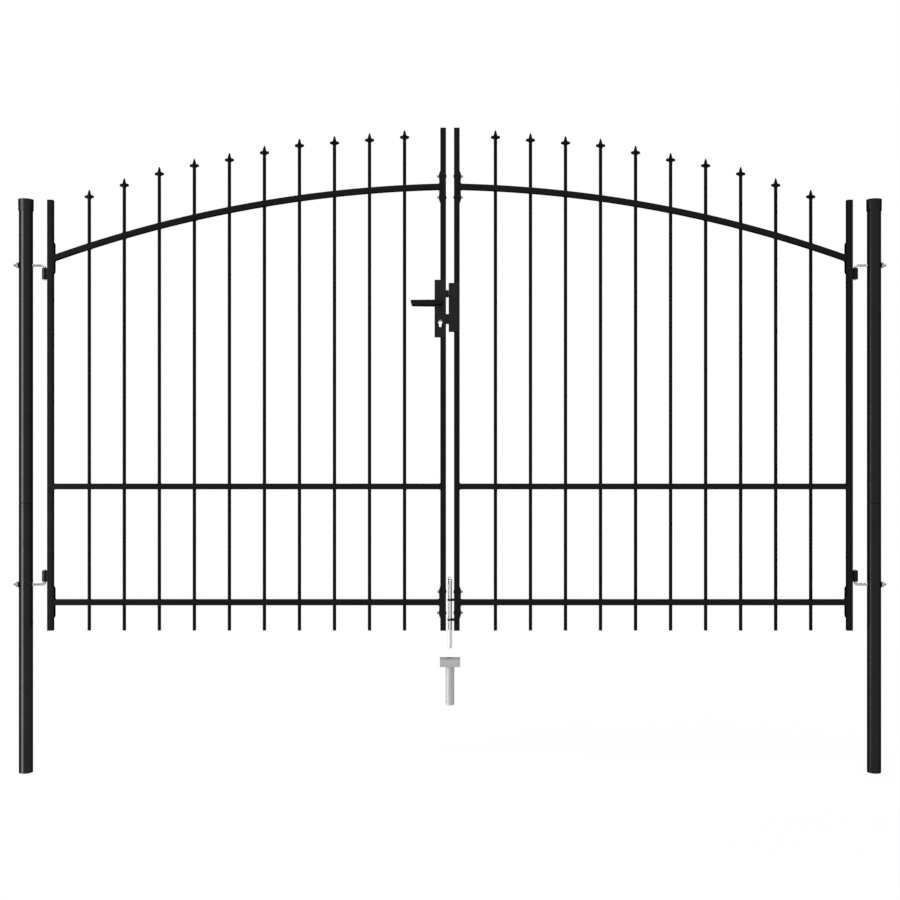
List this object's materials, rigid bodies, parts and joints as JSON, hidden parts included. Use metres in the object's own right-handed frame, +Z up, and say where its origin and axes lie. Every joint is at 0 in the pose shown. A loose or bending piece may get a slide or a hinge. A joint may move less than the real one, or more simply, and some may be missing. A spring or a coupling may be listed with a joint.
{
  "type": "driveway gate",
  "caption": "Arched driveway gate in black steel tube: hinged leaves with round pickets and spear tips, lever lock, strike and drop bolt, hung on round posts by hook bolts.",
  "frame": {"origin": "middle of the left post's foot, on the plane of its lower end", "axes": "+X along the closed gate to the right post, +Y to the side that the leaves open to, +Z up"},
  "size_m": [3.0454, 0.0942, 2.249],
  "materials": {
    "black_paint": "satin powder coat",
    "zinc": "dull zinc plating",
    "dark_steel": "dark oiled steel",
    "black_plastic": "moulded black plastic"
  },
  "bodies": {
    "posts": {"left_lower_post": "black_paint", "left_upper_post": "black_paint", "left_post_cap": "black_plastic", "right_lower_post": "black_paint", "right_upper_post": "black_paint", "right_post_cap": "black_plastic", "left_upper_hook_bolt": "zinc", "left_lower_hook_bolt": "zinc", "right_upper_hook_bolt": "zinc", "right_lower_hook_bolt": "zinc", "hook_bolt_nuts": "zinc", "saddle_washers": "black_paint", "ground_socket": "zinc"},
    "left_leaf": {"left_hinge_stile": "black_paint", "left_lock_stile": "black_paint", "left_stile_plugs": "black_plastic", "left_arch_rail": "black_paint", "left_mid_rail": "black_paint", "left_bottom_rail": "black_paint", "left_end_plates": "black_paint", "left_plate_bolts": "zinc", "left_pickets": "black_paint", "left_spear_tips": "black_paint", "left_hinge_barrels": "black_paint", "lock_case": "black_paint"},
    "right_leaf": {"right_hinge_stile": "black_paint", "right_lock_stile": "black_paint", "right_stile_plugs": "black_plastic", "right_arch_rail": "black_paint", "right_mid_rail": "black_paint", "right_bottom_rail": "black_paint", "right_end_plates": "black_paint", "right_plate_bolts": "zinc", "right_pickets": "black_paint", "right_spear_tips": "black_paint", "right_hinge_barrels": "black_paint", "strike_box": "black_paint", "drop_bolt_brackets": "black_paint"},
    "lever": {"front_lever": "black_paint", "back_lever": "black_paint", "lever_spindle": "dark_steel"},
    "latch": {"latch_bolt": "dark_steel"},
    "dead_bolt_slider": {"dead_bolt": "dark_steel"},
    "drop_bolt_slider": {"drop_bolt": "zinc"}
  },
  "joints": [
    {"name": "left_leaf_swing", "type": "hinge", "parent": "posts", "child": "left_leaf", "pos_m": [0.06625, 0, 1.2], "axis": [0, 0, 1], "range_deg": [0, 90]},
    {"name": "right_leaf_swing", "type": "hinge", "parent": "posts", "child": "right_leaf", "pos_m": [2.89575, 0, 1.2], "axis": [0, 0, -1], "range_deg": [0, 90]},
    {"name": "lever_turn", "type": "hinge", "parent": "left_leaf", "child": "lever", "pos_m": [1.44695, 0, 1.638], "axis": [0, -1, 0], "range_deg": [0, 40], "stiffness_Nm_per_rad": 1, "springref_deg": -22.92},
    {"name": "latch_slide", "type": "slide", "parent": "left_leaf", "child": "latch", "axis": [-1, 0, 0], "range_m": [0, 0.0086]},
    {"name": "dead_bolt_slide", "type": "slide", "parent": "left_leaf", "child": "dead_bolt_slider", "axis": [-1, 0, 0], "range_m": [-0.012, 0.0086]},
    {"name": "drop_bolt_slide", "type": "slide", "parent": "right_leaf", "child": "drop_bolt_slider", "axis": [0, 0, 1], "range_m": [-0.052, 0.06]}
  ],
  "couplings": [
    {"joint": "latch_slide", "follows": "lever_turn", "m_per_rad": 0.012318}
  ]
}
